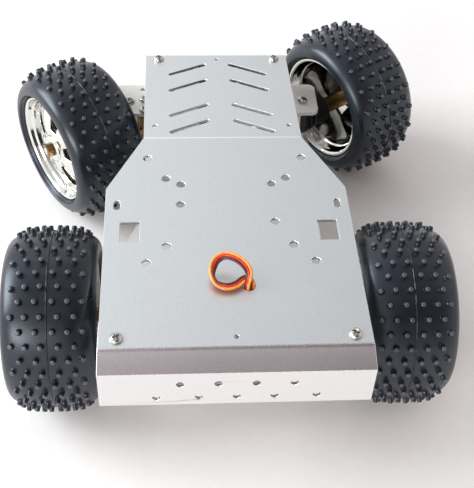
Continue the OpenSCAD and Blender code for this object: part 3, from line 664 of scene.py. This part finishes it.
def make_rim():
    """The plated rim. Its barrel and the backs of its spokes take a dark copy of the chrome, painted shade."""
    bm = bmesh.new()
    turn(bm, RING_OUTLINE, segments=120)
    turn(bm, HUB_OUTLINE, segments=48)
    add_web(bm)
    bmesh.ops.recalc_face_normals(bm, faces=bm.faces)
    for face in bm.faces:
        middle = face.calc_center_median() * 1000
        radius = math.hypot(middle.y, middle.z)
        barrel = 24.9 < radius < 25.6 and -11.4 < middle.x < 8
        behind = radius < 25.5 and middle.x < 12.4 and (face.normal.x < -0.3 or radius < 8.1)
        # The barrel and the spoke backs take the dark copy of the chrome: painted shade.
        face.material_index = 1 if barrel or behind else 0
    return new_piece("rim_front_left_chrome", bm, "rim_chrome", "rim_painted_shade", smooth=math.radians(30))


def wheel_matrix(joint, side):
    """From a wheel's own space, outward along +X, to its place in the row frame."""
    outward = Vector(joint["axis"]).normalized() * side
    up = Vector((0, 0, 1))
    ahead = up.cross(outward)
    return Matrix.Translation(Vector(joint["pos_m"])) @ Matrix((outward, ahead, up)).transposed().to_4x4()


def make_wheels():
    tyre, rim = make_tyre(), make_rim()
    joints = {j["name"]: j for j in frame["joints"]}
    for corner in ("front_left", "front_right", "rear_left", "rear_right"):
        first = corner == "front_left"
        where = wheel_matrix(joints["spin_" + corner], -1 if "left" in corner else 1)
        for part, source, suffix, slot in (("tyre", tyre, "rubber", "tyre_rubber"),
                                           ("rim", rim, "chrome", "rim_chrome")):
            piece = source if first else copy_piece(f"{part}_{corner}_{suffix}", source)
            spin = math.radians(TYRE_TURN[corner]) if part == "tyre" else 0
            piece.matrix_world = where @ Matrix.Rotation(spin, 4, "X")
            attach(piece, "wheel_" + corner)
            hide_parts(f"{part}_{corner}")
            if part == "rim":
                add_bevel(piece, 0.45, 3, 50)
                tidy_normals(piece)


make_wheels()


# Screws: pan heads with a cross recess

PAN_R, PAN_H, SHANK_R = 2.8, 2.0, 1.5
PITCH = 0.5
# Half length, half width and height of a blade of the cross, at its bottom and at its top
BLADE_LOW, BLADE_HIGH = (0.8, 0.28, 0.3), (2.15, 0.6, 2.6)


def recess_blade(spin):
    """One tapered blade of the recess's cross, narrow end down, its top over the head."""
    bm = bmesh.new()
    lower, upper = [], []
    for x, y in ((-1, -1), (1, -1), (1, 1), (-1, 1)):
        for (length, width, z), ring in ((BLADE_LOW, lower), (BLADE_HIGH, upper)):
            v = Vector((x * length, y * width, z))
            v.rotate(Matrix.Rotation(spin, 3, "Z"))
            ring.append(bm.verts.new(mm(v)))
    bm.faces.new(lower[::-1])
    bm.faces.new(upper)
    for k in range(4):
        bm.faces.new((lower[k], lower[(k + 1) % 4], upper[(k + 1) % 4], upper[k]))
    return bm


def apply_modifiers(piece):
    shown = piece.evaluated_get(bpy.context.evaluated_depsgraph_get())
    data = bpy.data.meshes.new_from_object(shown)
    old = piece.data
    piece.modifiers.clear()
    piece.data = data
    bpy.data.meshes.remove(old)


def make_pan_head():
    """The head alone, resting on z 0, with its recess cut."""
    bm = bmesh.new()
    dome = [(0, 0), (0, PAN_R - 0.25), (0.12, PAN_R), (0.75, PAN_R - 0.02), (1.2, PAN_R - 0.28), (1.6, 1.95),
            (1.85, 1.2), (PAN_H - 0.04, 0.6), (PAN_H, 0)]
    turn(bm, dome, segments=40, axis="Z", closed=False)
    head = new_piece("pan_head", bm, "screw_steel")
    for spin in (0, math.pi / 2):
        cutter = new_piece("cutter", recess_blade(spin), "screw_steel")
        cut = head.modifiers.new("cut", "BOOLEAN")
        cut.operation = "DIFFERENCE"
        cut.solver = "EXACT"
        cut.object = cutter
        bpy.context.view_layer.update()
        apply_modifiers(head)
        bpy.data.objects.remove(cutter)
    data = head.data
    bpy.data.objects.remove(head)
    return data


PAN_HEAD = make_pan_head()


def add_screw(bm, matrix, shank):
    """A pan-head screw, its head resting on z 0 and its shank down to -shank, with thread rings."""
    join(bm, PAN_HEAD, matrix)
    start = len(bm.verts)
    outline = [(0.01, 0), (0.01, SHANK_R - 0.12), (-0.3, SHANK_R - 0.12)]
    turns_count = int((shank - 1.0) / PITCH)
    for k in range(turns_count):
        outline += [(-0.4 - k * PITCH, SHANK_R - 0.22), (-0.4 - (k + 0.5) * PITCH, SHANK_R - 0.01)]
    outline += [(-shank + 0.3, SHANK_R - 0.25), (-shank, SHANK_R - 0.6), (-shank, 0)]
    turn(bm, outline, segments=20, axis="Z", closed=False)
    bm.verts.ensure_lookup_table()
    bmesh.ops.transform(bm, matrix=matrix, verts=bm.verts[start:])


def add_nut(bm, matrix, across, height, bore):
    """A hexagon nut from z 0 up, its corners chamfered by a cone at both faces."""
    start = len(bm.verts)
    flat, corner = across / 2, across / 2 / math.cos(math.pi / 6)
    sides = 48
    rings = []
    for z, share in ((0, 0.0), (0.28, 1.0), (height - 0.28, 1.0), (height, 0.0)):
        ring = []
        for i in range(sides):
            a = 2 * math.pi * i / sides
            from_flat = (a + math.pi / 6) % (math.pi / 3) - math.pi / 6
            hexagon = flat / math.cos(from_flat)
            r = min(hexagon, flat * 0.97 + share * (corner - flat * 0.97))
            ring.append(bm.verts.new(mm(r * math.sin(a), r * math.cos(a), z)))
        rings.append(ring)
    for z in (height, 0):
        rings.append([bm.verts.new(mm(bore * math.sin(a), bore * math.cos(a), z))
                      for a in (2 * math.pi * i / sides for i in range(sides))])
    for a, b in zip(rings, rings[1:] + rings[:1]):
        for i in range(sides):
            bm.faces.new((a[i], a[(i + 1) % sides], b[(i + 1) % sides], b[i]))
    bm.verts.ensure_lookup_table()
    bmesh.ops.transform(bm, matrix=matrix, verts=bm.verts[start:])


# Places of the screws, as in the CAD model
DECK_TOP, SHEET_T = 83.1, 1.5
PLATE_TOP, FLOOR_LOW = 54, 24
BEND_Y, NOSE_SLOPE = 7.1, 7.2
REAR_Y, AXLE_Z = -73, 43
KINGPIN = (48.5, 73)
DECK_CORNER = (48.7, -117.9)
NOSE_SCREW = (31.8, 79.6)
FRONT_POSTS = ((40.2, 65), (27, 80), (14.5, 36))
PLATE_SCREW = (40.2, 74.5)
BRACKET_BOLTS = ((38, REAR_Y + 15.5), (38, REAR_Y - 15.5))
SERVO_MID, SERVO_BOLT, SERVO_EAR_LOW = 62.9, (5, 24.4), 42.7
MOTOR_WALL_X, MOTOR_BOLT = 50, 8.5
ARM_LEN, ARM_TOP, EYE_LOW, EYE_TOP = 20, 41, 30.6, 34.9
STEER = math.radians(32.7)
UPSIDE_DOWN = Matrix.Rotation(math.pi, 4, "X")


def at(x, y, z, spin=0.0):
    return Matrix.Translation(mm(x, y, z)) @ Matrix.Rotation(math.radians(spin), 4, "Z")


def screw_piece(name, node, body, fill):
    bm = bmesh.new()
    fill(bm)
    piece = new_piece(name, bm, "screw_steel", smooth=math.radians(35))
    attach(piece, body)
    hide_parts(node)


def make_screws():
    spins = random.Random(7)

    def spin():
        return spins.uniform(0, 90)

    def deck(bm):
        nose = at(0, BEND_Y, DECK_TOP) @ Matrix.Rotation(math.radians(-NOSE_SLOPE), 4, "X")
        for s in (-1, 1):
            add_screw(bm, at(s * DECK_CORNER[0], DECK_CORNER[1], DECK_TOP, spin()), 9)
            add_screw(bm, nose @ at(s * NOSE_SCREW[0], NOSE_SCREW[1], 0, spin()), 6)

    def pans(bm):
        for s in (-1, 1):
            for x, y in FRONT_POSTS:
                add_screw(bm, at(s * x, y, FLOOR_LOW, spin()) @ UPSIDE_DOWN, 8)
            for x, y in BRACKET_BOLTS:
                add_screw(bm, at(s * x, y, FLOOR_LOW, spin()) @ UPSIDE_DOWN, 4)
            for (x, y), under in zip(FRONT_POSTS, (0, SHEET_T, 0)):
                add_screw(bm, at(s * x, y, PLATE_TOP + under, spin()), 8 + under)
            add_screw(bm, at(s * PLATE_SCREW[0], PLATE_SCREW[1], PLATE_TOP, spin()), 2)

    def kingpins(bm):
        for s in (-1, 1):
            add_screw(bm, at(s * KINGPIN[0], KINGPIN[1], PLATE_TOP, spin()), 34)

    def kingpin_nuts(bm):
        for s in (-1, 1):
            add_nut(bm, at(s * KINGPIN[0], KINGPIN[1], 20), 5.5, 4, SHANK_R)

    def servo(bm):
        for x in (-1, 1):
            for y in (-1, 1):
                place = (x * SERVO_BOLT[0], SERVO_MID + y * SERVO_BOLT[1])
                add_screw(bm, at(*place, PLATE_TOP, spin()), 13.7)
                add_nut(bm, at(*place, SERVO_EAR_LOW - 2.4), 5.5, 2.4, SHANK_R)

    def motor(bm):
        for s in (-1, 1):
            for y in (-1, 1):
                add_screw(bm, Matrix.Translation(mm(s * MOTOR_WALL_X, REAR_Y + y * MOTOR_BOLT, AXLE_Z))
                          @ Matrix.Rotation(s * math.pi / 2, 4, "Y") @ at(0, 0, 0, spin()), 5)

    screw_piece("deck_pan_screws", "deck_screws", "chassis", deck)
    screw_piece("plate_pan_screws", "pan_head_screws", "chassis", pans)
    screw_piece("kingpin_pan_screws", "kingpin_screws", "chassis", kingpins)
    screw_piece("kingpin_lock_nuts", "kingpin_nuts", "chassis", kingpin_nuts)
    screw_piece("servo_pan_screws", "servo_screws", "chassis", servo)
    screw_piece("motor_face_screws", "motor_screws", "chassis", motor)
    for side, name in ((-1, "left"), (1, "right")):
        def arm(bm, side=side):
            place = (side * KINGPIN[0] - ARM_LEN * math.sin(STEER), KINGPIN[1] + ARM_LEN * math.cos(STEER))
            add_screw(bm, at(*place, ARM_TOP, spin()), ARM_TOP - EYE_LOW + 2.4)
            add_nut(bm, at(*place, EYE_LOW - 2.4), 5.5, 2.4, SHANK_R)
        screw_piece(f"arm_pan_screw_{name}", f"arm_screw_{name}", f"knuckle_{name}", arm)


make_screws()


# CAD parts that keep their shape: a material and rounded edges

# slot: (edge width, segments, material of the rounded strip)
FINISHES = {
    "deck_metal": (0.22, 2, "edge_metal"),
    "bumper_metal": (0.22, 2, "edge_metal"),
    "plate_metal": (0.2, 2, "edge_metal"),
    "horn_metal": (0.25, 2, None),
    "brass": (0.25, 2, None),
    "stop_metal": (0.3, 2, None),
    "black_plastic": (0.45, 3, None),
    "black_nylon": (0.6, 3, None),
    "gearbox_steel": (0.4, 3, None),
    "motor_steel": (0.8, 4, None),
    "bearing_steel": (0.2, 2, None),
    "shaft_steel": (0.25, 2, None),
    "screw_steel": (0.2, 2, None),
}


def finish_cad_parts():
    for row in frame["record"]["subparts"]:
        piece = NODES[row["node"]]
        slot = row["material_slot"]
        if piece.hide_render or slot not in FINISHES:
            continue
        width, segments, edge = FINISHES[slot]
        data = piece.data
        for name in ("custom_normal", "sharp_edge", "sharp_face"):
            if name in data.attributes:
                data.attributes.remove(data.attributes[name])
        data.materials.clear()
        # Wheel nuts take the darker brass copy: painted shade.
        data.materials.append(LOOKS["nut_brass_painted_shade" if row["node"].startswith("wheel_nut") else slot])
        for polygon in data.polygons:
            polygon.use_smooth = True
            polygon.material_index = 0
        weld = piece.modifiers.new("weld", "WELD")
        weld.merge_threshold = 2e-6
        flatten = piece.modifiers.new("flatten", "DECIMATE")
        flatten.decimate_type = "DISSOLVE"
        flatten.angle_limit = math.radians(0.5)
        if row["node"] == "rear_bumper":
            # Faces turned to the rear take the lighter copy of the bumper metal: painted light on that side.
            data.materials.append(LOOKS["bumper_face_painted_light"])
            for polygon in data.polygons:
                polygon.material_index = 1 if polygon.normal.y < -0.9 else 0
        add_bevel(piece, width, segments, look=edge)
        tidy_normals(piece)


# Widths of the bright strips along the deck's bend and its edges
BEND_STRIP, RIM_STRIP = 0.4, 0.22


def make_deck():
    """The deck's CAD sheet with bright rounded edges and a bright rounded bend."""
    bm = bmesh.new()
    bm.from_mesh(NODES["deck_plate"].data)
    bmesh.ops.remove_doubles(bm, verts=bm.verts, dist=2e-6)
    bmesh.ops.dissolve_limit(bm, angle_limit=math.radians(0.5), verts=bm.verts, edges=bm.edges)
    for face in bm.faces:
        face.material_index = 0
    bend = [e for e in bm.edges if e.calc_face_angle(0) > math.radians(4) and e.calc_length() > 0.004
            and all(abs(v.co.y - BEND_Y / 1000) < 0.0005 and v.co.z > 0.08 for v in e.verts)
            and abs(e.verts[0].co.z - e.verts[1].co.z) < 1e-5]
    bmesh.ops.bevel(bm, geom=bend, offset=BEND_STRIP / 1000, segments=3, profile=0.5, affect="EDGES",
                    clamp_overlap=False, material=1)
    rims = [e for e in bm.edges if e.calc_face_angle(0) > math.radians(35)]
    bmesh.ops.bevel(bm, geom=rims, offset=RIM_STRIP / 1000, segments=2, profile=0.5, affect="EDGES",
                    clamp_overlap=False, material=1)
    piece = new_piece("deck_sheet", bm, "deck_metal", "edge_metal", smooth=math.radians(180))
    tidy_normals(piece)
    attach(piece, "chassis")
    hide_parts("deck_plate")


make_deck()
finish_cad_parts()
